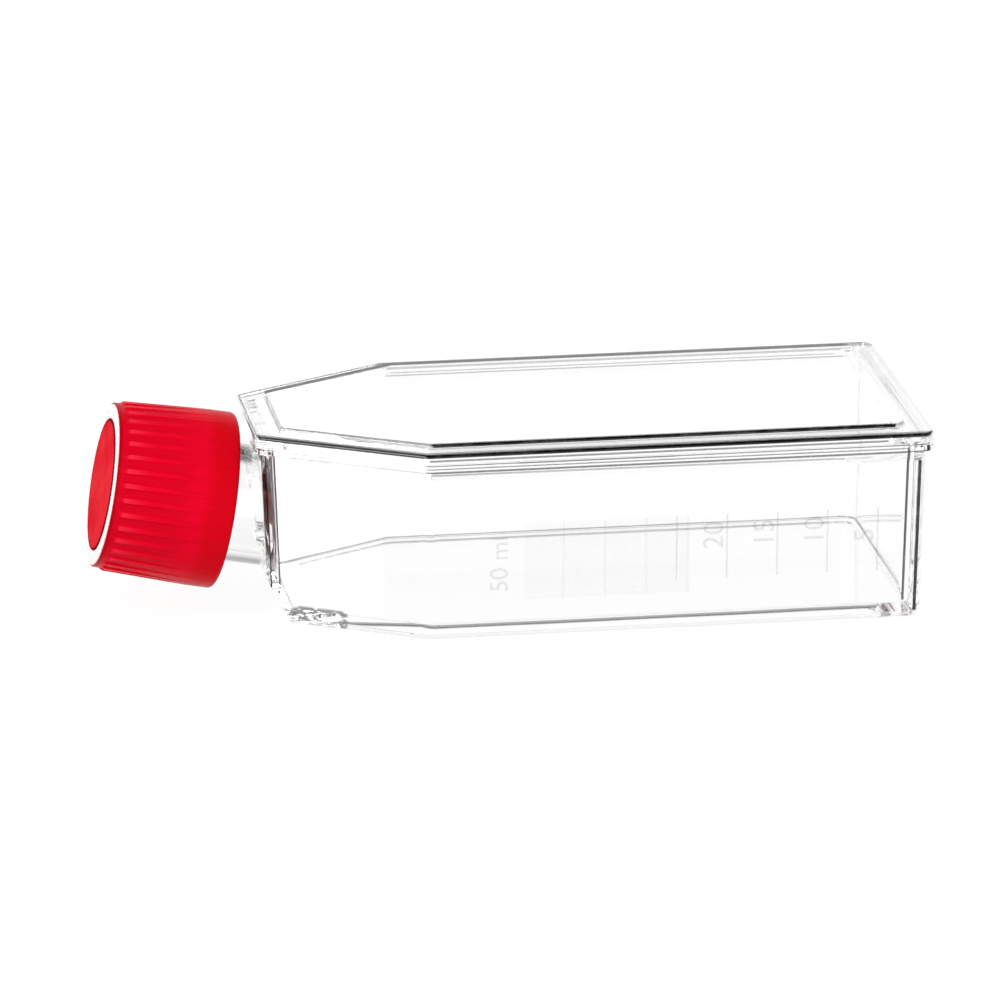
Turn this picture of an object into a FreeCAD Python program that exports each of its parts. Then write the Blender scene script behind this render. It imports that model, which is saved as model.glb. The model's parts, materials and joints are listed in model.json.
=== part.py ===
"""Cell culture flask, 25 cm2 growth area, lying on its floor, with a vented screw cap.

Millimetres. The flask is drawn with x running from its neck end towards its back end, y across
it and z up, and is moved at the end so that the origin is the middle of the whole flask's
footprint, on the surface it stands on. Everything on the neck is drawn upright about a local
z axis, whose zero is where the neck's axis leaves the end wall, and is then tilted into place.
"""
import FreeCAD, Part
import math
import os

Vector = FreeCAD.Vector

# ---------------------------------------------------------------- sizes of the flask body
plate_length = 84.5          # outside of the rim, neck end to back end
plate_width = 41.0           # outside of the rim
shoulder_length = 20.0       # along x, from the neck end to the knees
neck_end_margin = 1.8        # from the side of the neck to the end of the rim's short edge
tub_top = 23.1               # the face of the rim that the cover is welded to
border_thickness = 1.5       # the cover's flat border
plateau_rise = 0.65          # the cover's middle stands this much above its border
plateau_inset_side = 2.4
plateau_inset_end = 3.2
pocket_wall = 1.3            # the cover's thickness under and around its raised middle
cover_edge_radius = 0.5      # along the top edges of the border and of the raised middle
rim_corner_radius = 1.6
neck_end_corner_radius = 1.1
rim_knee_radius = 2.5

wall = 1.3                   # side walls
floor_thickness = 1.5
foot_height = 0.3            # the floor is held this far off the bench
foot_land = 0.7              # width of the flat that the flask stands on
foot_setback = 2.05          # from the bottom of the ramp back to the foot
side_inset_top = 0.85        # the outside of the walls, in from the rim, just under it
side_inset_bottom = 1.25     # and at the bench: the difference is the moulding draft
neck_end_inset_top = 0.9
neck_end_inset_bottom = 1.75
flange_thickness = 0.8       # the tub's rim, below the weld
flange_gusset = 1.4          # height of the slope that carries the rim along the two long sides
ramp_run = 2.7               # how far back the sloping foot of the neck end wall reaches
bottom_edge_radius = 1.0
inside_edge_radius = 0.4
ridge_width = 0.6            # weld ridge under the cover
ridge_depth = 0.4
ridge_clearance = 0.05       # beside and under the ridge, in the rim's groove
weld_gap = 0.05              # left between the rim and the border beside the ridge

# ---------------------------------------------------------------- sizes of the neck
neck_tilt = 10.5             # degrees above the floor
neck_rise = 1.2              # the neck's middle above half the tub's height, at the end wall
neck_radius = 7.5
neck_wall = 1.3
lip_radius = 0.4
thread_lead = 5.0            # two starts, so the ridges are half of this apart
thread_starts = 2
thread_height = 0.9
thread_base = 1.2
thread_crest = 0.6
neck_thread_turns = 1.15
neck_thread_land = 3.25      # plain neck from the lip down to the thread

# ---------------------------------------------------------------- sizes of the cap
cap_open_end = 4.3           # distance of the cap's open edge from the neck's start
cap_length = 15.4
cap_thread_turns = 0.75
thread_tip_gap = 0.35        # between a ridge's crest and the wall it faces
skirt_wall = 2.45            # at the smooth band, outside the bore
mouth_wall = 1.3             # beside the wider mouth inside the open edge
mouth_length = 2.6
band_length = 3.0            # smooth band beside the open edge
cap_taper = 0.45             # the closed end's radius, over the ribs, is this much smaller
cap_edge_radius = 0.6        # at the open end
collar_edge_radius = 0.1     # at the closed end, where a plain collar ends the ribs
rib_count = 36
first_rib = 7.4              # degrees from the top of the cap
rib_height = 0.33            # at the collar; the ribs run out at the band
rib_base_width = 1.15
rib_top_width = 0.55
rib_end_gap = 0.75           # between the ribs' ends and the closed edge
rib_end_slope = 0.6          # length of the ribs' sloping ends
end_wall = 1.3
seal_thickness = 1.0
seal_overlap = 0.35          # the sealing ring reaches past both edges of the lip
seal_gap = 0.02              # room for the ring to turn against the cap and lie on the lip

filter_thickness = 0.9
filter_rim = 0.2             # the cap's collar round the filter
filter_clearance = 0.02
filter_proud = 0.1           # above the cap's edge
filter_ring_width = 1.8      # the part of the filter that the vent cover leaves bare
vent_cover_thickness = 0.6
vent_cover_rise = 0.15       # above the filter's face
vent_cover_edge = 0.12       # bevel round its face
stem_radius = 1.5
window_count = 8
window_share = 0.62          # of the windows' circle that is open
window_from_stem = 1.2
window_from_lip = 0.8        # inside the neck's bore

# ---------------------------------------------------------------- construction values
joined = 0.15                # how far shapes that become one solid run into each other
coincident = 1e-4            # nearer than this is the same place

# ---------------------------------------------------------------- sizes that follow
tilt = math.radians(neck_tilt)
cover_bottom = tub_top + weld_gap
border_top = cover_bottom + border_thickness
plate_top = border_top + plateau_rise
floor_top = foot_height + floor_thickness
flange_bottom = tub_top - flange_thickness
gusset_bottom = flange_bottom - flange_gusset
neck_end_width = 2 * (neck_radius + neck_end_margin)
shoulder_angle = math.atan2((plate_width - neck_end_width) / 2, shoulder_length)
gusset_start = shoulder_length + rim_knee_radius * math.tan(shoulder_angle / 2)
gusset_finish = plate_length - rim_corner_radius

neck_bore = neck_radius - neck_wall
neck_start_z = tub_top / 2 + neck_rise
end_wall_draft = (neck_end_inset_bottom - neck_end_inset_top) / gusset_bottom
neck_start_x = neck_end_inset_bottom - end_wall_draft * neck_start_z
neck_inside_start = -(2 * wall + neck_radius * math.sin(tilt))
ramp_top = neck_start_z - neck_radius / math.cos(tilt)
foot_front = neck_end_inset_bottom + ramp_run + foot_setback
foot_width = bottom_edge_radius + foot_land

cap_closed_end = cap_open_end + cap_length
band_end = cap_open_end + band_length
filter_seat = cap_closed_end + filter_proud - filter_thickness
filter_face = filter_seat + filter_thickness
end_wall_inside = filter_seat - end_wall
neck_length = end_wall_inside - seal_thickness - 2 * seal_gap
neck_thread_start = neck_length - neck_thread_land - thread_lead * neck_thread_turns
thread_pitch = thread_lead / thread_starts
cap_thread_start = neck_thread_start + thread_pitch / 2

cap_bore = neck_radius + thread_height + thread_tip_gap
cap_radius_open = cap_bore + skirt_wall
cap_radius_closed = cap_radius_open - cap_taper
collar_radius = cap_radius_closed - rib_height
mouth_radius = cap_radius_open - mouth_wall
filter_pocket = collar_radius - filter_rim
filter_radius = filter_pocket - filter_clearance
vent_cover_radius = filter_radius - filter_ring_width
window_inner = stem_radius + window_from_stem
window_outer = neck_bore - window_from_lip


# ---------------------------------------------------------------- outlines and solids
def rounded_wire(corners, z):
    """A closed wire at height z through (x, y, radius) corners, with each corner rounded."""
    edges = []
    arcs = []
    count = len(corners)
    for i in range(count):
        here = Vector(corners[i][0], corners[i][1], z)
        before = Vector(corners[i - 1][0], corners[i - 1][1], z)
        after = Vector(corners[(i + 1) % count][0], corners[(i + 1) % count][1], z)
        towards = (here - before).normalize()
        away = (after - here).normalize()
        turn = towards.getAngle(away)
        reach = corners[i][2] * math.tan(turn / 2)
        inward = (away - towards).normalize()
        depth = corners[i][2] / math.cos(turn / 2) - corners[i][2]
        arcs.append((here - towards * reach, here + inward * depth, here + away * reach))
    for i in range(count):
        start, middle, end = arcs[i]
        edges.append(Part.Arc(start, middle, end).toShape())
        edges.append(Part.makeLine(end, arcs[(i + 1) % count][0]))
    return Part.Wire(edges)


def flask_outline(z, inset, neck_end=None, back_end=None):
    """The flask's six-sided plan, moved in from the rim by inset on all sides.

    neck_end and back_end are the two end edges' own insets, where they differ.
    """
    front = inset if neck_end is None else neck_end
    back = plate_length - (inset if back_end is None else back_end)
    half_end = neck_end_width / 2
    half_width = plate_width / 2
    slope = math.hypot(shoulder_length, half_width - half_end)
    out_x = -(half_width - half_end) / slope
    out_y = shoulder_length / slope
    reach = out_y * half_end - inset
    front_y = (reach - out_x * front) / out_y
    side_y = half_width - inset
    knee_x = (reach - out_y * side_y) / out_x
    corners = [
        (front, -front_y, neck_end_corner_radius),
        (knee_x, -side_y, rim_knee_radius),
        (back, -side_y, rim_corner_radius),
        (back, side_y, rim_corner_radius),
        (knee_x, side_y, rim_knee_radius),
        (front, front_y, neck_end_corner_radius),
    ]
    return rounded_wire(corners, z)


def prism(wire, height):
    return Part.Face(wire).extrude(Vector(0, 0, height))


def loft(lower, upper):
    return Part.makeLoft([lower, upper], True, True)


def turned(points):
    """A solid of revolution about z from (radius, z) points."""
    corners = [Vector(radius, 0, z) for radius, z in points]
    outline = Part.makePolygon(corners + corners[:1])
    return Part.Face(outline).revolve(Vector(0, 0, 0), Vector(0, 0, 1), 360)


def ring(inner, outer, bottom, top):
    if inner <= 0:
        return Part.makeCylinder(outer, top - bottom, Vector(0, 0, bottom))
    return turned([(inner, bottom), (outer, bottom), (outer, top), (inner, top)])


def round_edges(solid, radius, chosen):
    """The solid with the edges that chosen(edge) picks rounded."""
    edges = [edge for edge in solid.Edges if chosen(edge)]
    return solid.makeFillet(radius, edges)


def at_height(z):
    return lambda edge: all(abs(v.Z - z) < coincident for v in edge.Vertexes)


def on_circle(radius, z):
    """Picks the edges on the circle of this radius at this height."""
    def chosen(edge):
        radii = [math.hypot(v.X, v.Y) for v in edge.Vertexes]
        return at_height(z)(edge) and all(abs(r - radius) < coincident for r in radii)
    return chosen


def thread_ridges(carrier_radius, outward, low, turns):
    """The thread's helical ridges, one for each start, from the height low upwards.

    They stand outward (+1) from a neck or inward (-1) from a cap.
    """
    root = carrier_radius - outward * joined
    crest = carrier_radius + outward * thread_height
    helix = Part.makeHelix(thread_lead, thread_lead * turns, carrier_radius)
    profile = Part.makePolygon([
        Vector(root, 0, -thread_base / 2),
        Vector(crest, 0, -thread_crest / 2),
        Vector(crest, 0, thread_crest / 2),
        Vector(root, 0, thread_base / 2),
        Vector(root, 0, -thread_base / 2),
    ])
    ridge = Part.Wire(helix).makePipeShell([profile], True, True)
    ridge.translate(Vector(0, 0, low))
    return around(ridge, thread_starts)


def around(shape, count):
    """Copies of the shape, evenly turned about z."""
    copies = []
    for i in range(count):
        copy = shape.copy()
        copy.rotate(Vector(0, 0, 0), Vector(0, 0, 1), i * 360 / count)
        copies.append(copy)
    return copies


def to_neck(shape):
    """Moves a shape from the neck's local upright axis to its tilted place on the flask."""
    direction = Vector(-math.cos(tilt), 0, math.sin(tilt))
    turn = FreeCAD.Rotation(Vector(0, 0, 1), direction)
    place = FreeCAD.Placement(Vector(neck_start_x, 0, neck_start_z), turn)
    moved = shape.copy()
    moved.Placement = place.multiply(shape.Placement)
    return moved


# ---------------------------------------------------------------- flask body
def ramp_cut(offset):
    """What lies in front of the sloping foot of the neck end wall, moved in by offset."""
    top_x = neck_end_inset_bottom
    run_angle = math.atan2(ramp_run, ramp_top)
    in_x = offset * math.cos(run_angle)
    in_z = offset * math.sin(run_angle)
    overshoot = ramp_top
    upper = Vector(top_x + in_x - overshoot * math.tan(run_angle), 0, ramp_top + in_z + overshoot)
    lower = Vector(top_x + in_x + 2 * ramp_run, 0, in_z - ramp_top)
    outside = Vector(upper.x - plate_width, 0, upper.z)
    below = Vector(outside.x, 0, lower.z)
    side = Part.Face(Part.makePolygon([upper, lower, below, outside, upper]))
    side.translate(Vector(0, -plate_width, 0))
    return side.extrude(Vector(0, 2 * plate_width, 0))


def rim_gusset(side):
    """The slope that carries the rim along one long side: -1 for the near side, 1 for the far."""
    rim_y = side * plate_width / 2
    wall_y = rim_y - side * side_inset_top
    inside_y = wall_y - side * wall / 2
    section = Part.Face(Part.makePolygon([
        Vector(gusset_start, wall_y, gusset_bottom),
        Vector(gusset_start, rim_y, flange_bottom),
        Vector(gusset_start, inside_y, flange_bottom),
        Vector(gusset_start, inside_y, gusset_bottom),
        Vector(gusset_start, wall_y, gusset_bottom),
    ]))
    return section.extrude(Vector(gusset_finish - gusset_start, 0, 0))


def make_flask_body():
    walls = loft(
        flask_outline(0, side_inset_bottom, neck_end_inset_bottom),
        flask_outline(gusset_bottom, side_inset_top, neck_end_inset_top),
    )
    walls = round_edges(walls, bottom_edge_radius, at_height(0))
    under_rim = prism(
        flask_outline(gusset_bottom, side_inset_top, neck_end_inset_top), flange_gusset
    )
    flange = prism(flask_outline(flange_bottom, 0), flange_thickness)
    tub = walls.cut(ramp_cut(0)).fuse([under_rim, flange, rim_gusset(-1), rim_gusset(1)])

    neck = ring(0, neck_radius, neck_inside_start, neck_length)
    neck = round_edges(neck, lip_radius, at_height(neck_length))
    tub = tub.fuse(to_neck(neck))

    hollow = loft(
        flask_outline(floor_top, side_inset_bottom + wall, neck_end_inset_bottom + wall),
        flask_outline(tub_top, side_inset_top + wall, neck_end_inset_top + wall),
    )
    hollow = hollow.cut(ramp_cut(wall))
    hollow = round_edges(hollow, inside_edge_radius, at_height(floor_top))
    bore = ring(0, neck_bore, neck_inside_start - wall, neck_length + wall)
    tub = tub.cut([hollow, to_neck(bore)])

    under_floor = prism(
        flask_outline(-foot_height, side_inset_bottom + foot_width, foot_front + foot_width),
        2 * foot_height,
    )
    under_ramp = Part.makeBox(
        foot_front + wall, 2 * plate_width, 2 * foot_height, Vector(-wall, -plate_width, -foot_height)
    )
    groove = weld_ring(ridge_clearance, tub_top)
    tub = tub.cut([under_floor, under_ramp, groove])

    ridges = thread_ridges(neck_radius, 1, neck_thread_start, neck_thread_turns)
    return tub.fuse([to_neck(ridge) for ridge in ridges]).removeSplitter()


# ---------------------------------------------------------------- cover plate
def weld_ring(clearance, top):
    """The weld ridge that runs round under the cover, or with clearance the groove for it."""
    middle = (side_inset_top + wall) / 2
    outer = middle - ridge_width / 2 - clearance
    inner = middle + ridge_width / 2 + clearance
    bottom = cover_bottom - ridge_depth - clearance
    around_ridge = prism(flask_outline(bottom, outer), top - bottom)
    return around_ridge.cut(prism(flask_outline(bottom, inner), top - bottom))


def make_cover_plate():
    border = prism(flask_outline(cover_bottom, 0), border_thickness)
    border = round_edges(border, cover_edge_radius, at_height(border_top))
    plateau = prism(
        flask_outline(cover_bottom, plateau_inset_side, plateau_inset_end, plateau_inset_end),
        plate_top - cover_bottom,
    )
    plateau = round_edges(plateau, cover_edge_radius, at_height(plate_top))
    pocket = prism(
        flask_outline(
            cover_bottom,
            plateau_inset_side + pocket_wall,
            plateau_inset_end + pocket_wall,
            plateau_inset_end + pocket_wall,
        ),
        plate_top - pocket_wall - cover_bottom,
    )
    ridge = weld_ring(0, cover_bottom)
    return border.fuse([plateau, ridge]).cut(pocket).removeSplitter()


# ---------------------------------------------------------------- pieces on the neck
def make_sealing_ring():
    bottom = neck_length + seal_gap
    inner = neck_bore - seal_overlap
    outer = neck_radius + seal_overlap
    return to_neck(ring(inner, outer, bottom, bottom + seal_thickness))


def rib():
    """The first grip rib; it runs out at the smooth band and slopes off at the collar."""
    high = cap_closed_end - rib_end_gap
    sections = []
    for z, tip, root in (
        (band_end, cap_radius_open, cap_radius_open - rib_height - joined),
        (high - rib_end_slope, cap_radius_closed, collar_radius - joined),
        (high, collar_radius, collar_radius - joined),
    ):
        half_base = rib_base_width / 2
        half_top = rib_top_width / 2
        sections.append(Part.makePolygon([
            Vector(root, -half_base, z),
            Vector(tip, -half_top, z),
            Vector(tip, half_top, z),
            Vector(root, half_base, z),
            Vector(root, -half_base, z),
        ]))
    first = Part.makeLoft(sections, True, True)
    first.rotate(Vector(0, 0, 0), Vector(0, 0, 1), first_rib)
    return first


def vent_window():
    """One arc-shaped opening through the cap's end wall, at angle zero."""
    sweep = 360 / window_count * window_share
    sector = Part.Face(Part.makePolygon([
        Vector(window_inner, 0, end_wall_inside - end_wall),
        Vector(window_outer, 0, end_wall_inside - end_wall),
        Vector(window_outer, 0, filter_seat + end_wall),
        Vector(window_inner, 0, filter_seat + end_wall),
        Vector(window_inner, 0, end_wall_inside - end_wall),
    ]))
    return sector.revolve(Vector(0, 0, 0), Vector(0, 0, 1), sweep)


def make_cap_shell():
    skirt = turned([
        (mouth_radius, cap_open_end),
        (cap_radius_open, cap_open_end),
        (cap_radius_open, band_end),
        (collar_radius, cap_closed_end),
        (filter_pocket, cap_closed_end),
        (filter_pocket, filter_seat),
        (stem_radius, filter_seat),
        (stem_radius, end_wall_inside),
        (cap_bore, end_wall_inside),
        (cap_bore, cap_open_end + mouth_length),
        (mouth_radius, cap_open_end + mouth_length / 2),
    ])
    skirt = round_edges(skirt, cap_edge_radius, on_circle(cap_radius_open, cap_open_end))
    skirt = round_edges(skirt, collar_edge_radius, on_circle(collar_radius, cap_closed_end))
    shell = skirt.fuse(around(rib(), rib_count)).cut(around(vent_window(), window_count))
    # Both threads have the same lead, so half a pitch along the axis keeps their ridges apart.
    ridges = thread_ridges(cap_bore, -1, cap_thread_start, cap_thread_turns)
    return to_neck(shell.fuse(ridges).removeSplitter())


def make_filter_disc():
    pocket_floor = filter_face + vent_cover_rise - vent_cover_thickness
    disc = ring(stem_radius, filter_radius, filter_seat, filter_face)
    pocket = ring(0, vent_cover_radius, pocket_floor, filter_face)
    return to_neck(disc.cut(pocket))


def make_vent_cover():
    top = filter_face + vent_cover_rise
    bottom = top - vent_cover_thickness
    return to_neck(turned([
        (0, end_wall_inside),
        (stem_radius, end_wall_inside),
        (stem_radius, bottom),
        (vent_cover_radius, bottom),
        (vent_cover_radius, top - vent_cover_edge),
        (vent_cover_radius - vent_cover_edge, top),
        (0, top),
    ]))


# ---------------------------------------------------------------- the whole flask
pieces = {
    "flask_body": make_flask_body(),
    "cover_plate": make_cover_plate(),
    "sealing_ring": make_sealing_ring(),
    "cap_shell": make_cap_shell(),
    "filter_disc": make_filter_disc(),
    "vent_cover": make_vent_cover(),
}

box = Part.Compound(list(pieces.values())).optimalBoundingBox()
to_origin = Vector(-(box.XMin + box.XMax) / 2, 0, -box.ZMin)

if __name__ == "__main__":
    os.makedirs("parts", exist_ok=True)
    for name, shape in pieces.items():
        placed = shape.copy()
        placed.translate(to_origin)
        placed.exportStep("parts/" + name + ".step")
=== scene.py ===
"""The looks of a clear cell culture flask with a red vented screw cap, in metres."""
import bpy
import json
import math
from mathutils import Matrix, Quaternion, Vector


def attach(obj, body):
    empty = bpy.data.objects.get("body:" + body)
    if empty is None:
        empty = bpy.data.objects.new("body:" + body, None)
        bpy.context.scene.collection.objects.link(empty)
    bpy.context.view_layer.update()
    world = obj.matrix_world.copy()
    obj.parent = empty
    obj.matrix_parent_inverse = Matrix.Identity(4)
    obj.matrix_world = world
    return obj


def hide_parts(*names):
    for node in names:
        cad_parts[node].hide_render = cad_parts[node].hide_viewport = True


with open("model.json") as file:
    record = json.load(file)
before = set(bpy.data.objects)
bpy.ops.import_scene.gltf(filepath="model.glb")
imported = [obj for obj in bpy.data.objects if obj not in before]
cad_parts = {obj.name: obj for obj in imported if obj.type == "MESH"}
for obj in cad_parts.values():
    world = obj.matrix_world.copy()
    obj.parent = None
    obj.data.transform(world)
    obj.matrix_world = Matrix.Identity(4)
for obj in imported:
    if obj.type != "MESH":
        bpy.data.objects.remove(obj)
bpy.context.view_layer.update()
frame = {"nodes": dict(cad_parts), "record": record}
scene = bpy.context.scene
scene.view_settings.view_transform = "Standard"
bpy.ops.object.select_all(action="DESELECT")

# ---------------------------------------------------------------- camera
# A long lens looks at the flask's near side from a little above, with the cap on the left and
# the back end on the right.
aim = Vector((0.00024, -0.0004, 0.0120))
azimuth = math.radians(-9.14)
elevation = math.radians(17.66)
roll = math.radians(0.16)
camera_distance = 1.0553
camera_back = Vector((
    math.sin(azimuth) * math.cos(elevation),
    -math.cos(azimuth) * math.cos(elevation),
    math.sin(elevation),
))
bpy.ops.object.camera_add(location=aim + camera_back * camera_distance)
camera = bpy.context.object
camera.name = "camera"
camera.data.lens = 299.4
camera.data.clip_end = 20
camera.rotation_mode = "QUATERNION"
camera.rotation_quaternion = (-camera_back).to_track_quat("-Z", "Y") @ Quaternion((0, 0, 1), roll)
scene.camera = camera

# ---------------------------------------------------------------- floor and light
# A white sweep under the flask and a white surround that darkens overhead, as in a light tent
# with an open top. Three soft lamps draw the highlights on the cap.
scene.cycles.max_bounces = 64
scene.cycles.transmission_bounces = 64
scene.cycles.glossy_bounces = 48

bpy.ops.mesh.primitive_plane_add(size=12)
floor = bpy.context.object
floor.name = "floor"


def math_node(tree, operation, first, second=0.0, third=0.0):
    """The output of a Math node; its inputs are sockets or numbers."""
    node = tree.nodes.new("ShaderNodeMath")
    node.operation = operation
    for socket, value in zip(node.inputs, (first, second, third)):
        if isinstance(value, bpy.types.NodeSocket):
            tree.links.new(value, socket)
        else:
            socket.default_value = value
    return node.outputs[0]


def reached(tree, *ray_kinds):
    """A value that is 1 for rays of the named kinds, such as Is Camera Ray, and 0 for all others."""
    path = tree.nodes.new("ShaderNodeLightPath")
    value = path.outputs[ray_kinds[0]]
    for kind in ray_kinds[1:]:
        value = math_node(tree, "MAXIMUM", value, path.outputs[kind])
    return value


floor_look = bpy.data.materials.new("white_sweep")
floor_look.use_nodes = True
tree = floor_look.node_tree
tree.nodes.clear()
output = tree.nodes.new("ShaderNodeOutputMaterial")
paper = tree.nodes.new("ShaderNodeBsdfDiffuse")
paper.inputs["Color"].default_value = (0.86, 0.86, 0.86, 1)
shadowed = tree.nodes.new("ShaderNodeBsdfDiffuse")
shadowed.inputs["Color"].default_value = (0.11, 0.11, 0.11, 1)
glow = tree.nodes.new("ShaderNodeEmission")
glow.inputs["Strength"].default_value = 0.94
lit = tree.nodes.new("ShaderNodeAddShader")
choose = tree.nodes.new("ShaderNodeMixShader")
tree.links.new(shadowed.outputs[0], lit.inputs[0])
tree.links.new(glow.outputs[0], lit.inputs[1])
seen = reached(tree, "Is Camera Ray", "Is Glossy Ray", "Is Transmission Ray")
tree.links.new(seen, choose.inputs[0])
tree.links.new(paper.outputs[0], choose.inputs[1])
tree.links.new(lit.outputs[0], choose.inputs[2])
tree.links.new(choose.outputs[0], output.inputs["Surface"])
floor.data.materials.append(floor_look)

opening_starts = math.radians(32)
opening_full = math.radians(50)
opening_light = 0.06
world = bpy.data.worlds.new("white_surround")
world.use_nodes = True
scene.world = world
tree = world.node_tree
tree.nodes.clear()
output = tree.nodes.new("ShaderNodeOutputWorld")
light = tree.nodes.new("ShaderNodeBackground")
light.inputs["Strength"].default_value = 0.64
tent = tree.nodes.new("ShaderNodeBackground")
direction = tree.nodes.new("ShaderNodeTexCoord")
split = tree.nodes.new("ShaderNodeSeparateXYZ")
overhead = tree.nodes.new("ShaderNodeMapRange")
overhead.interpolation_type = "SMOOTHSTEP"
overhead.inputs["From Min"].default_value = math.sin(opening_starts)
overhead.inputs["From Max"].default_value = math.sin(opening_full)
overhead.inputs["To Min"].default_value = 1.0
overhead.inputs["To Max"].default_value = opening_light
backdrop = tree.nodes.new("ShaderNodeBackground")
soft = tree.nodes.new("ShaderNodeMixShader")
all_white = tree.nodes.new("ShaderNodeMixShader")
tree.links.new(direction.outputs["Generated"], split.inputs[0])
tree.links.new(split.outputs["Z"], overhead.inputs["Value"])
tree.links.new(overhead.outputs[0], tent.inputs["Strength"])
tree.links.new(reached(tree, "Is Glossy Ray", "Is Transmission Ray"), soft.inputs[0])
tree.links.new(light.outputs[0], soft.inputs[1])
tree.links.new(tent.outputs[0], soft.inputs[2])
tree.links.new(reached(tree, "Is Camera Ray"), all_white.inputs[0])
tree.links.new(soft.outputs[0], all_white.inputs[1])
tree.links.new(backdrop.outputs[0], all_white.inputs[2])
tree.links.new(all_white.outputs[0], output.inputs["Surface"])
for shader in (light, tent, backdrop):
    shader.inputs["Color"].default_value = (1, 1, 1, 1)

# each lamp's name, place, width, height and power
for lamp_name, place, width, height, power in (
    ("key_lamp", (-0.60, -0.50, 0.90), 0.40, 0.40, 4.6),
    ("front_left_strip", (-0.46, -0.86, 0.42), 0.22, 0.80, 2.4),
    ("right_strip", (0.95, -0.40, 0.30), 0.15, 0.50, 1.6),
):
    bpy.ops.object.light_add(type="AREA", location=place)
    lamp = bpy.context.object
    lamp.name = lamp_name
    lamp.data.shape = "RECTANGLE"
    lamp.data.size = width
    lamp.data.size_y = height
    lamp.data.energy = power
    lamp.rotation_euler = (-lamp.location).to_track_quat("-Z", "Y").to_euler()

# ---------------------------------------------------------------- clear tub
# The tub with its neck is clear polystyrene moulded in polished tools: colourless face on, with
# painted shade on its corners and edges, standing for the light that runs along inside a wall.


def new_look(name):
    """A new material with its node tree and its Principled shader."""
    look = bpy.data.materials.new(name)
    look.use_nodes = True
    return look, look.node_tree, look.node_tree.nodes["Principled BSDF"]


def ramp(tree, value, stops):
    """The value mapped to a grey through (position, grey) stops."""
    node = tree.nodes.new("ShaderNodeValToRGB")
    node.color_ramp.interpolation = "EASE"
    while len(node.color_ramp.elements) < len(stops):
        node.color_ramp.elements.new(0.5)
    for element, (position, grey) in zip(node.color_ramp.elements, stops):
        element.position = position
        element.color = (grey, grey, grey, 1)
    tree.links.new(value, node.inputs[0])
    return node.outputs[0]


def noise(tree, vector, scale, detail=2.0):
    """Smooth noise between 0 and 1; scale is in waves per metre."""
    node = tree.nodes.new("ShaderNodeTexNoise")
    node.inputs["Scale"].default_value = scale
    node.inputs["Detail"].default_value = detail
    tree.links.new(vector, node.inputs["Vector"])
    return node.outputs[0]


def bump(tree, height, distance):
    """A shading normal from a height between 0 and 1, where 1 stands for the distance."""
    node = tree.nodes.new("ShaderNodeBump")
    node.inputs["Distance"].default_value = distance
    node.inputs["Strength"].default_value = 1.0
    tree.links.new(height, node.inputs["Height"])
    return node.outputs[0]


def smooth(tree, value, none, full):
    """0 where the value is at or before none, 1 from full on, and a soft step between them."""
    node = tree.nodes.new("ShaderNodeMapRange")
    node.interpolation_type = "SMOOTHSTEP"
    node.inputs["From Min"].default_value = none
    node.inputs["From Max"].default_value = full
    tree.links.new(value, node.inputs["Value"])
    return node.outputs[0]


def product(tree, *factors):
    """All the factors multiplied with each other."""
    result = factors[0]
    for factor in factors[1:]:
        result = math_node(tree, "MULTIPLY", result, factor)
    return result


def strongest(tree, *values):
    """The largest of the values."""
    result = values[0]
    for value in values[1:]:
        result = math_node(tree, "MAXIMUM", result, value)
    return result


def band(tree, value, low, high, soft):
    """1 between low and high, fading to 0 over soft on each side."""
    rising = smooth(tree, value, low - soft, low)
    falling = smooth(tree, value, high + soft, high)
    return product(tree, rising, falling)


def clear_look(name, edges):
    """Clear polystyrene darkened with painted shade: edges() gives how dark each place is painted, from 0
    to 1.
    """
    spot_share = 0.002
    flow_depth = 3e-5
    look, tree, shader = new_look(name)
    shader.inputs["Roughness"].default_value = 0.0
    shader.inputs["IOR"].default_value = 1.59
    shader.inputs["Transmission Weight"].default_value = 1.0
    coordinates = tree.nodes.new("ShaderNodeTexCoord").outputs["Object"]
    geometry = tree.nodes.new("ShaderNodeNewGeometry")
    normal = tree.nodes.new("ShaderNodeSeparateXYZ")
    place = tree.nodes.new("ShaderNodeSeparateXYZ")
    tree.links.new(geometry.outputs["Normal"], normal.inputs[0])
    tree.links.new(coordinates, place.inputs[0])
    painted_darkness = edges(tree, normal.outputs, place.outputs)
    spots = smooth(tree, noise(tree, coordinates, 420, 3.0), 0.48, 0.66)
    kept = math_node(tree, "SUBTRACT", 1.0, product(tree, spots, spot_share))
    # Painted shade: the base colour darkens where edges() says, standing in for light lost inside the
    # walls.
    painted_shade_tint = math_node(tree, "SUBTRACT", 1.0, product(tree, painted_darkness, kept))
    tree.links.new(painted_shade_tint, shader.inputs["Base Color"])
    flow = noise(tree, coordinates, 45, 1.0)
    tree.links.new(bump(tree, flow, flow_depth), shader.inputs["Normal"])
    return look


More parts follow.
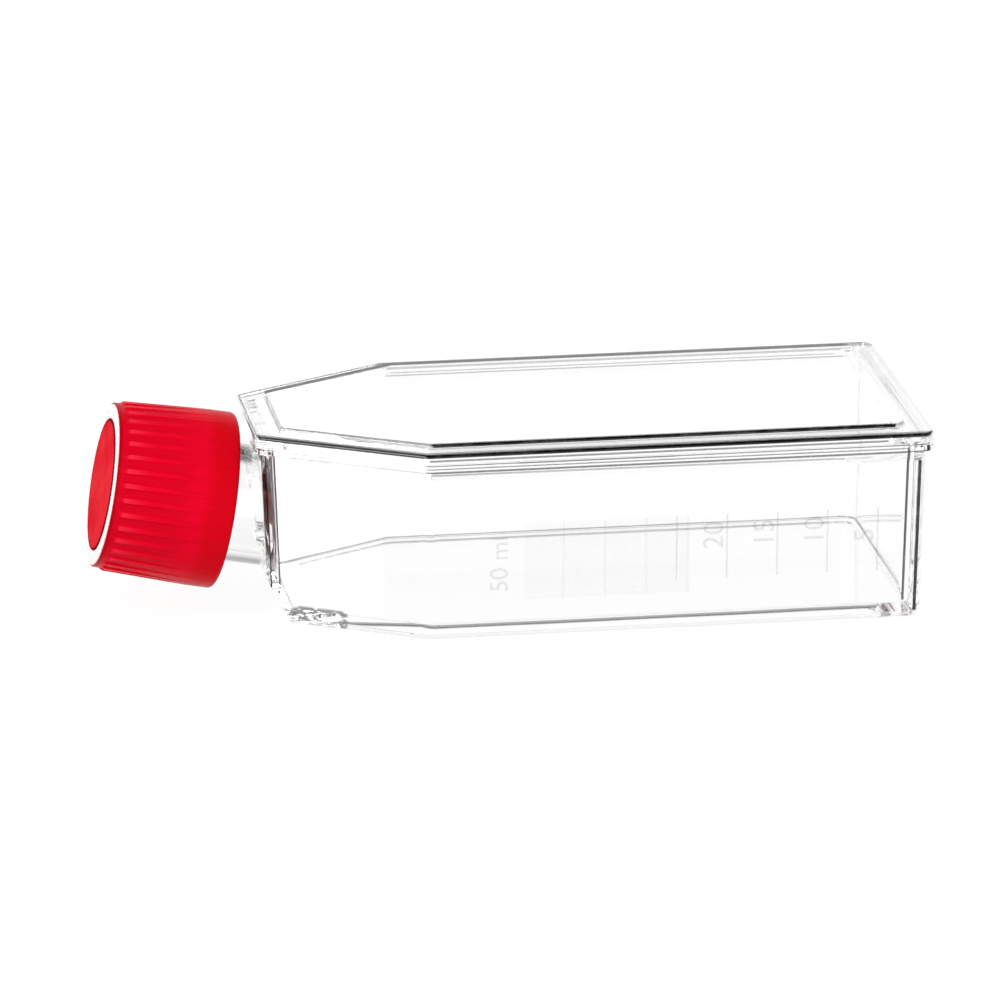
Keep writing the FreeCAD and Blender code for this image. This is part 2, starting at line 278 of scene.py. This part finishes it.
def tub_edges(tree, normal, place):
    """Painted shade on the corners at both ends, floor fillets, neck underside, rim edge and in specks by
    the foot.
    """
    back_corner_x = 0.0455
    front_corner_x = -0.0275
    ramp_start_x, ramp_finish_x = -0.0280, -0.0214
    ramp_y = -0.0092
    neck_root_x = -0.0305
    foot_top_z = 0.0022
    fillet_top_z = 0.0030
    rim_edge_low_z, rim_edge_high_z = 0.02230, 0.02244
    near_line, far_line_more = 0.45, 0.40
    neck_line, rim_line, speck_line = 0.90, 0.95, 0.90

    across = math_node(tree, "ABSOLUTE", normal["Y"])
    level = math_node(tree, "ABSOLUTE", normal["Z"])
    upright = smooth(tree, level, 0.10, 0.06)

    at_back = smooth(tree, place["X"], back_corner_x, back_corner_x + 0.0005)
    near_side = smooth(tree, place["Y"], 0.0, -0.002)
    outer_back = band(tree, normal["X"], 0.28, 0.54, 0.03)
    back = product(tree, at_back, near_side, upright, outer_back)
    at_front = smooth(tree, place["X"], front_corner_x, front_corner_x - 0.0005)
    outer_front = band(tree, normal["X"], -0.66, -0.56, 0.02)
    front = product(tree, at_front, upright, outer_front)

    fillet = band(tree, normal["Z"], 0.55, 0.78, 0.08)
    on_floor = smooth(tree, place["Z"], fillet_top_z, fillet_top_z - 0.0004)
    far_side = smooth(tree, place["Y"], -0.001, 0.001)
    line = math_node(tree, "MULTIPLY_ADD", far_side, far_line_more, near_line)
    floor_edge = product(tree, fillet, on_floor, line)

    on_neck = smooth(tree, place["X"], neck_root_x, neck_root_x - 0.0007)
    facing_down = smooth(tree, normal["Z"], -0.60, -0.80)
    underside = product(tree, on_neck, facing_down, neck_line)

    at_rim = band(tree, place["Z"], rim_edge_low_z, rim_edge_high_z, 0.00004)
    rim_edge = product(tree, at_rim, smooth(tree, across, 0.93, 0.97), rim_line)

    # Painted shade in dark specks by the foot of the near wall, beside the ramp.
    coordinates = tree.nodes.new("ShaderNodeTexCoord").outputs["Object"]
    specks = smooth(tree, noise(tree, coordinates, 1500), 0.34, 0.46)
    along_ramp = band(tree, place["X"], ramp_start_x, ramp_finish_x, 0.0003)
    by_ramp = product(tree, along_ramp, smooth(tree, place["Y"], ramp_y, ramp_y - 0.0004))
    at_foot = smooth(tree, place["Z"], foot_top_z + 0.0004, foot_top_z)
    not_level = smooth(tree, level, 0.90, 0.80)
    foot_shade_specks = product(tree, specks, by_ramp, at_foot, not_level, speck_line)
    return strongest(tree, back, front, floor_edge, underside, foot_shade_specks, rim_edge)


tub_look = clear_look("clear_polystyrene", tub_edges)
frame["nodes"]["flask_body"].data.materials.clear()
frame["nodes"]["flask_body"].data.materials.append(tub_look)

# ---------------------------------------------------------------- clear cover
# The welded cover is the same clear polystyrene. Painted shade draws dark lines along the sides of the
# rounded edges of its border and of its raised middle, and paler ones across the ends.


def cover_edges(tree, normal, place):
    """Painted shade: dark rounded edges and welded seam along the sides, paler across the ends."""
    half_width = 0.0205
    shoulder_sine, shoulder_cosine = 0.4886, 0.8725
    shoulder_reach = 0.023848
    middle_low_z = 0.02470
    seam_low_z, seam_high_z = 0.02314, 0.02327
    foot_low_z, foot_high_z = 0.02466, 0.02478
    border_strip = 0.00085
    middle_strip = 0.00385
    far_half_y = 0.0050
    slant_line, end_line, strip_line, seam_line, foot_line = 0.40, 0.35, 0.90, 0.92, 0.70

    along = math_node(tree, "ABSOLUTE", normal["X"])
    across = math_node(tree, "ABSOLUTE", normal["Y"])
    aside = math_node(tree, "ABSOLUTE", place["Y"])
    raised = smooth(tree, place["Z"], middle_low_z, middle_low_z + 0.00006)
    on_border = math_node(tree, "SUBTRACT", 1.0, raised)

    fillet = band(tree, normal["Z"], 0.16, 0.88, 0.06)
    side = smooth(tree, along, 0.66, 0.52)
    long_side = smooth(tree, along, 0.16, 0.06)
    border_edge = product(tree, fillet, on_border, side)
    middle_side = strongest(tree, long_side, product(tree, side, slant_line))
    middle_edge = product(tree, fillet, raised, middle_side)
    end_edge = product(tree, fillet, smooth(tree, along, 0.66, 0.80), end_line)

    from_side = math_node(tree, "SUBTRACT", half_width, aside)
    shoulder_x = math_node(tree, "MULTIPLY_ADD", place["X"], shoulder_sine, shoulder_reach)
    shoulder_y = math_node(tree, "MULTIPLY", aside, shoulder_cosine)
    from_shoulder = math_node(tree, "SUBTRACT", shoulder_x, shoulder_y)
    from_outline = math_node(tree, "MINIMUM", from_side, from_shoulder)
    # Painted shade in strips along the outline of the level faces; on the raised middle only its far
    # half.
    level = smooth(tree, normal["Z"], 0.80, 0.90)
    near_outline = smooth(tree, from_outline, border_strip + 0.0003, border_strip)
    strip = product(tree, near_outline, level, on_border, strip_line)
    far_half = smooth(tree, place["Y"], far_half_y - 0.001, far_half_y)
    near_middle = smooth(tree, from_outline, middle_strip + 0.00035, middle_strip)
    far_strip = product(tree, near_middle, level, raised, far_half)

    straight = smooth(tree, across, 0.93, 0.97)
    seam = product(tree, band(tree, place["Z"], seam_low_z, seam_high_z, 0.00004), straight, seam_line)
    foot = product(tree, band(tree, place["Z"], foot_low_z, foot_high_z, 0.00003), straight, foot_line)
    return strongest(tree, border_edge, middle_edge, end_edge, strip, far_strip, seam, foot)


cover_look = clear_look("clear_polystyrene_cover", cover_edges)
frame["nodes"]["cover_plate"].data.materials.clear()
frame["nodes"]["cover_plate"].data.materials.append(cover_look)

# ---------------------------------------------------------------- printed marks
# Graduations and a pale write-on field printed in violet ink on the outside of the near wall.
# They read from the floor to the cover, with their tops towards the neck.
wall_foot = Vector((0, -0.01925, 0))
wall_top = Vector((0, -0.01965, 0.0209))
wall_up = (wall_top - wall_foot).normalized()
wall_out = wall_up.cross(Vector((1, 0, 0))).normalized()
ink_thickness = 0.00002
neck_end_x = -0.0322021


def on_wall(x, z):
    """The matrix of a mark at x from the neck end and height z: its X runs up and its Y to the neck."""
    origin = wall_foot + wall_up * z + wall_out * (ink_thickness / 2 + 5e-6)
    origin.x = neck_end_x + x
    turn = Matrix((wall_up, Vector((-1, 0, 0)), wall_out)).transposed()
    return Matrix.Translation(origin) @ turn.to_4x4()


def mark_text(text, x, z, height):
    """Printed characters whose feet are at x and which begin at height z."""
    bpy.ops.object.select_all(action="DESELECT")
    bpy.ops.object.text_add()
    mark = bpy.context.object
    mark.data.body = text
    mark.data.size = height / 0.7
    mark.data.extrude = ink_thickness / 2
    mark.data.resolution_u = 4
    bpy.ops.object.convert(target="MESH")
    mark.matrix_world = on_wall(x, z)
    bpy.ops.object.transform_apply(location=True, rotation=True, scale=True)
    return mark


def mark_bar(x, z, width, length):
    """A printed bar centred on x that runs up from height z."""
    bpy.ops.object.select_all(action="DESELECT")
    bpy.ops.mesh.primitive_cube_add(size=1)
    mark = bpy.context.object
    mark.matrix_world = on_wall(x, z + length / 2) @ Matrix.Diagonal((length, width, ink_thickness, 1))
    bpy.ops.object.transform_apply(location=True, rotation=True, scale=True)
    return mark


first_tick_x = 0.0774
tick_spacing = 0.0064
tick_count = 5
marks = [mark_text("50 ml", x=0.0304, z=0.0060, height=0.0023)]
for step in range(tick_count):
    tick_x = first_tick_x - tick_spacing * step
    marks.append(mark_bar(tick_x, z=0.0066, width=0.00022, length=0.0084))
    if step < tick_count - 1:
        millilitres = 5 * (step + 1)
        marks.append(mark_text(str(millilitres), tick_x - 0.0005, z=0.0104, height=0.0026))
bpy.ops.object.select_all(action="DESELECT")
for mark in marks:
    mark.select_set(True)
bpy.context.view_layer.objects.active = marks[0]
bpy.ops.object.join()
graduations = bpy.context.object
graduations.name = "graduations"
bpy.ops.object.mode_set(mode="EDIT")
bpy.ops.mesh.select_all(action="SELECT")
bpy.ops.mesh.remove_doubles(threshold=1e-6)
bpy.ops.mesh.normals_make_consistent(inside=False)
bpy.ops.object.mode_set(mode="OBJECT")
bpy.ops.object.transform_apply(location=True, rotation=True, scale=True)
field = mark_bar(x=0.0430, z=0.0049, width=0.0210, length=0.0101)
field.name = "writing_field"

# each print's name, colour, and how much it covers where the ink is thin and where it is full
row_spacing = 0.00525
row_cover = 0.05
for mark, look_name, colour, thin, full in (
    (graduations, "violet_ink", (0.42, 0.12, 0.42, 1), 0.07, 0.15),
    (field, "pale_ink", (0.80, 0.45, 0.68, 1), 0.00, 0.04),
):
    look, tree, shader = new_look(look_name)
    coordinates = tree.nodes.new("ShaderNodeTexCoord")
    shader.inputs["Base Color"].default_value = colour
    shader.inputs["Roughness"].default_value = 0.55
    shader.inputs["Specular IOR Level"].default_value = 0.2
    cover = tree.nodes.new("ShaderNodeMapRange")
    cover.inputs["To Min"].default_value = thin
    cover.inputs["To Max"].default_value = full
    tree.links.new(noise(tree, coordinates.outputs["Object"], 2200, 3.0), cover.inputs["Value"])
    ink = cover.outputs[0]
    if mark is field:
        place = tree.nodes.new("ShaderNodeSeparateXYZ")
        tree.links.new(coordinates.outputs["Object"], place.inputs[0])
        from_row = math_node(tree, "PINGPONG", place.outputs["X"], row_spacing / 2)
        row = product(tree, smooth(tree, from_row, 0.00020, 0.00008), row_cover)
        ink = math_node(tree, "ADD", ink, row)
    tree.links.new(ink, shader.inputs["Alpha"])
    mark.data.materials.append(look)
    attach(mark, "flask")

# ---------------------------------------------------------------- sealing ring
# A soft translucent ring inside the cap, pressed on the lip of the neck.
seal_look, tree, shader = new_look("seal_elastomer")
coordinates = tree.nodes.new("ShaderNodeTexCoord")
shader.inputs["Base Color"].default_value = (0.86, 0.85, 0.81, 1)
shader.inputs["Subsurface Weight"].default_value = 0.4
shader.inputs["Subsurface Radius"].default_value = (0.001, 0.001, 0.001)
grain = noise(tree, coordinates.outputs["Object"], 5000)
tree.links.new(ramp(tree, grain, [(0.2, 0.42), (0.8, 0.60)]), shader.inputs["Roughness"])
tree.links.new(bump(tree, grain, 1e-5), shader.inputs["Normal"])
frame["nodes"]["sealing_ring"].data.materials.clear()
frame["nodes"]["sealing_ring"].data.materials.append(seal_look)

# ---------------------------------------------------------------- screw cap
# The red polyethylene screw cap with its grip ribs: a merged copy of the solid whose ribs get
# rounded edges and ends.
hinge = next(j for j in frame["record"]["behaviour"]["joints"] if j["name"] == "cap_turn")
neck_start = Vector(hinge["pos_m"])
neck_axis = Vector(hinge["axis"]).normalized()
neck_turn = Vector((0, 0, 1)).rotation_difference(neck_axis)
neck_place = Matrix.Translation(neck_start) @ neck_turn.to_matrix().to_4x4()
collar_radius = 0.01042
band_end = 0.0073
cap_closed_end = 0.0197
flat_angle = math.radians(0.6)
edge_angle = math.radians(18)
rib_rounding = 0.00035
rib_side_share = 0.35

node = frame["nodes"]["cap_shell"]
grip_cap = node.copy()
grip_cap.data = node.data.copy()
grip_cap.parent = None
scene.collection.objects.link(grip_cap)
grip_cap.name = "grip_cap"
bpy.ops.object.select_all(action="DESELECT")
grip_cap.select_set(True)
bpy.context.view_layer.objects.active = grip_cap
bpy.ops.object.mode_set(mode="EDIT")
bpy.ops.mesh.select_all(action="SELECT")
bpy.ops.mesh.customdata_custom_splitnormals_clear()
bpy.ops.mesh.remove_doubles(threshold=2e-6)
bpy.ops.mesh.dissolve_limited(angle_limit=flat_angle)
bpy.ops.object.mode_set(mode="OBJECT")
weights = grip_cap.data.attributes.new("bevel_weight_edge", "FLOAT", "EDGE")
faces_of_edge = {}
for polygon in grip_cap.data.polygons:
    for key in polygon.edge_keys:
        faces_of_edge.setdefault(key, []).append(polygon.normal.copy())
to_upright = neck_place.inverted()
for edge in grip_cap.data.edges:
    ends = [to_upright @ grip_cap.data.vertices[i].co for i in edge.vertices]
    radii = [math.hypot(end.x, end.y) for end in ends]
    normals = faces_of_edge[edge.key]
    if min(radii) < collar_radius - 4e-5 or len(normals) != 2:
        continue
    if normals[0].angle(normals[1]) < edge_angle:
        continue
    heights = [end.z for end in ends]
    if min(heights) < band_end - 1e-5 or max(heights) > cap_closed_end - 3e-4:
        continue
    across = abs(heights[0] - heights[1]) < 1e-4
    if across and min(radii) > collar_radius + 1e-4:
        weights.data[edge.index].value = 1.0
    elif not across:
        weights.data[edge.index].value = rib_side_share
rounding = grip_cap.modifiers.new("rounding", "BEVEL")
rounding.limit_method = "WEIGHT"
rounding.width = rib_rounding
rounding.segments = 3
bpy.ops.object.modifier_apply(modifier="rounding")
bpy.ops.object.shade_smooth_by_angle(angle=math.radians(32))


def neck_coordinates(tree):
    """Object coordinates turned upright, with the neck's axis along z from the neck's start."""
    coordinates = tree.nodes.new("ShaderNodeTexCoord")
    mapping = tree.nodes.new("ShaderNodeMapping")
    mapping.inputs["Location"].default_value = to_upright.translation
    mapping.inputs["Rotation"].default_value = to_upright.to_euler()
    tree.links.new(coordinates.outputs["Object"], mapping.inputs["Vector"])
    return mapping.outputs[0]


def blend(tree, share, first, second):
    """first where the share is 0 and second where it is 1; both are colours or colour sockets."""
    mix = tree.nodes.new("ShaderNodeMix")
    mix.data_type = "RGBA"
    factor = next(i for i in mix.inputs if i.name == "Factor")
    colour_a, colour_b = [i for i in mix.inputs if i.type == "RGBA"]
    for socket, value in ((factor, share), (colour_a, first), (colour_b, second)):
        if isinstance(value, bpy.types.NodeSocket):
            tree.links.new(value, socket)
        else:
            socket.default_value = value
    return next(o for o in mix.outputs if o.type == "RGBA")


def off_axis(tree, upright):
    """The distance from the neck's axis and the height along it."""
    split = tree.nodes.new("ShaderNodeSeparateXYZ")
    tree.links.new(upright, split.inputs[0])
    x_squared = product(tree, split.outputs["X"], split.outputs["X"])
    y_squared = product(tree, split.outputs["Y"], split.outputs["Y"])
    radius = math_node(tree, "SQRT", math_node(tree, "ADD", x_squared, y_squared))
    return radius, split.outputs["Z"]


valley_radius_at_start = 0.011659
valley_taper = -0.0629
red_look, tree, shader = new_look("red_polyethylene")
shader.inputs["Specular IOR Level"].default_value = 0.03
upright = neck_coordinates(tree)
mottling = noise(tree, upright, 260)
radius, height = off_axis(tree, upright)
valley_radius = math_node(tree, "MULTIPLY_ADD", height, valley_taper, valley_radius_at_start)
relief = math_node(tree, "SUBTRACT", radius, valley_radius)
outside = smooth(tree, radius, 0.01020, 0.01030)
ribbed = product(tree, smooth(tree, height, 0.0085, 0.0130), outside)
# Painted shade: the valleys between the ribs are darker red.
valley = product(tree, smooth(tree, relief, 0.00012, 0.00002), ribbed)
# Painted highlights: the rib crests are lighter, most of all at the rib ends.
crest_highlight = product(tree, smooth(tree, relief, 0.00014, 0.00031), ribbed)
rib_end_highlight = smooth(tree, height, 0.0146, 0.0184)
collar = product(tree, smooth(tree, height, 0.01915, 0.01945), outside)
on_band = smooth(tree, height, 0.0090, 0.0070)
mottled = ramp(tree, mottling, [(0.3, 0.0), (0.7, 1.0)])
red = blend(tree, mottled, (0.725, 0.0004, 0.016, 1), (0.770, 0.0008, 0.020, 1))
red = blend(tree, product(tree, on_band, 0.7), red, (0.60, 0.0005, 0.004, 1))
# Painted shade in the valleys, painted highlights on the crests and at the rib ends.
red = blend(tree, product(tree, valley, 0.75), red, (0.60, 0.0002, 0.013, 1))
red = blend(tree, product(tree, crest_highlight, 0.30), red, (0.84, 0.008, 0.036, 1))
red = blend(tree, product(tree, crest_highlight, rib_end_highlight, 0.80), red, (0.86, 0.034, 0.078, 1))
red = blend(tree, product(tree, collar, 0.8), red, (0.40, 0.0002, 0.004, 1))
tree.links.new(red, shader.inputs["Base Color"])
grain = noise(tree, upright, 9000)
tree.links.new(ramp(tree, mottling, [(0.3, 0.26), (0.7, 0.32)]), shader.inputs["Roughness"])
tree.links.new(bump(tree, grain, 2e-6), shader.inputs["Normal"])
grip_cap.data.materials.clear()
grip_cap.data.materials.append(red_look)
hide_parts("cap_shell")
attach(grip_cap, "cap")

# ---------------------------------------------------------------- white filter
# The white hydrophobic filter lies in the cap's end inside the collar; only its outer ring
# shows round the vent cover, which is let into it.
filter_seat = 0.0189
filter_face = 0.0198
filter_radius = 0.0102
vent_cover_radius = 0.0084
vent_cover_thickness = 0.0006
vent_cover_rise = 0.00015
stem_radius = 0.0015
round_steps = 128


def finish_on_neck(obj, name, look, node_name):
    """Merges the piece, moves it to the neck's axis and puts it in place of its solid."""
    bpy.ops.object.mode_set(mode="EDIT")
    bpy.ops.mesh.select_all(action="SELECT")
    bpy.ops.mesh.remove_doubles(threshold=1e-6)
    bpy.ops.mesh.normals_make_consistent(inside=False)
    bpy.ops.object.mode_set(mode="OBJECT")
    obj.name = name
    obj.matrix_world = neck_place
    bpy.ops.object.transform_apply(location=True, rotation=True, scale=True)
    bpy.ops.object.shade_smooth_by_angle(angle=math.radians(32))
    obj.data.materials.append(look)
    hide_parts(node_name)
    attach(obj, "cap")


def edit_faces(obj, z):
    """Goes to edit mode with only the flat faces at height z selected."""
    bpy.ops.object.mode_set(mode="EDIT")
    bpy.ops.mesh.select_mode(type="FACE")
    bpy.ops.mesh.select_all(action="DESELECT")
    bpy.ops.object.mode_set(mode="OBJECT")
    for polygon in obj.data.polygons:
        heights = [obj.data.vertices[i].co.z for i in polygon.vertices]
        polygon.select = all(abs(height - z) < 1e-6 for height in heights)
    bpy.ops.object.mode_set(mode="EDIT")


bpy.ops.object.select_all(action="DESELECT")
bpy.ops.mesh.primitive_cylinder_add(
    vertices=round_steps, radius=filter_radius, depth=filter_face - filter_seat,
    location=(0, 0, (filter_face + filter_seat) / 2),
)
filter_disc = bpy.context.object
bpy.ops.object.transform_apply(location=True, rotation=True, scale=True)
pocket_floor = filter_face + vent_cover_rise - vent_cover_thickness
edit_faces(filter_disc, filter_face)
bpy.ops.mesh.inset(thickness=filter_radius - vent_cover_radius)
bpy.ops.mesh.extrude_region_move(TRANSFORM_OT_translate={"value": (0, 0, pocket_floor - filter_face)})
bpy.ops.mesh.inset(thickness=vent_cover_radius - stem_radius)
bpy.ops.object.mode_set(mode="OBJECT")
edit_faces(filter_disc, filter_seat)
bpy.ops.mesh.inset(thickness=filter_radius - stem_radius)
bpy.ops.object.mode_set(mode="OBJECT")
for polygon in filter_disc.data.polygons:
    polygon.select = len(polygon.vertices) > 4
bpy.ops.object.mode_set(mode="EDIT")
bpy.ops.mesh.bridge_edge_loops()
bpy.ops.object.mode_set(mode="OBJECT")

filter_look, tree, shader = new_look("white_filter")
upright = neck_coordinates(tree)
fibres = noise(tree, upright, 7000, 4.0)
shader.inputs["Roughness"].default_value = 0.75
shader.inputs["Specular IOR Level"].default_value = 0.3
matted = ramp(tree, fibres, [(0.3, 0.0), (0.7, 1.0)])
white = blend(tree, matted, (0.94, 0.94, 0.93, 1), (0.99, 0.99, 0.985, 1))
tree.links.new(white, shader.inputs["Base Color"])
tree.links.new(bump(tree, fibres, 1.5e-5), shader.inputs["Normal"])
finish_on_neck(filter_disc, "filter_ring", filter_look, "filter_disc")

# ---------------------------------------------------------------- vent cover
# The round red cover over the vents, moulded flat with a small bevel, with its stem through the
# filter into the cap's end wall.
end_wall_inside = 0.0176
vent_cover_edge = 0.00012
cover_top = filter_face + vent_cover_rise
bpy.ops.object.select_all(action="DESELECT")
bpy.ops.mesh.primitive_cylinder_add(
    vertices=round_steps, radius=vent_cover_radius, depth=vent_cover_thickness,
    location=(0, 0, cover_top - vent_cover_thickness / 2),
)
vent_disc = bpy.context.object
bpy.ops.object.transform_apply(location=True, rotation=True, scale=True)
edit_faces(vent_disc, pocket_floor)
bpy.ops.mesh.inset(thickness=vent_cover_radius - stem_radius)
bpy.ops.mesh.extrude_region_move(TRANSFORM_OT_translate={"value": (0, 0, end_wall_inside - pocket_floor)})
bpy.ops.object.mode_set(mode="OBJECT")
edit_faces(vent_disc, cover_top)
bpy.ops.mesh.region_to_loop()
bpy.ops.mesh.bevel(offset=vent_cover_edge, segments=3, affect="EDGES")
bpy.ops.object.mode_set(mode="OBJECT")

vent_look, tree, shader = new_look("red_vent_cover")
upright = neck_coordinates(tree)
mottling = noise(tree, upright, 180)
shader.inputs["Specular IOR Level"].default_value = 0.0
radius = off_axis(tree, upright)[0]
mottled = ramp(tree, mottling, [(0.3, 0.0), (0.7, 1.0)])
face = blend(tree, mottled, (0.74, 0.012, 0.026, 1), (0.82, 0.034, 0.046, 1))
# Painted shade: a near-black ring just inside the cover's edge, standing for its shaded side.
rim = smooth(tree, radius, vent_cover_radius - 0.00050, vent_cover_radius - 0.00015)
face = blend(tree, product(tree, rim, 0.85), face, (0.12, 0.0005, 0.002, 1))
tree.links.new(face, shader.inputs["Base Color"])
tree.links.new(ramp(tree, mottling, [(0.3, 0.36), (0.7, 0.46)]), shader.inputs["Roughness"])
tree.links.new(bump(tree, noise(tree, upright, 6000), 3e-6), shader.inputs["Normal"])
finish_on_neck(vent_disc, "vent_disc", vent_look, "vent_cover")
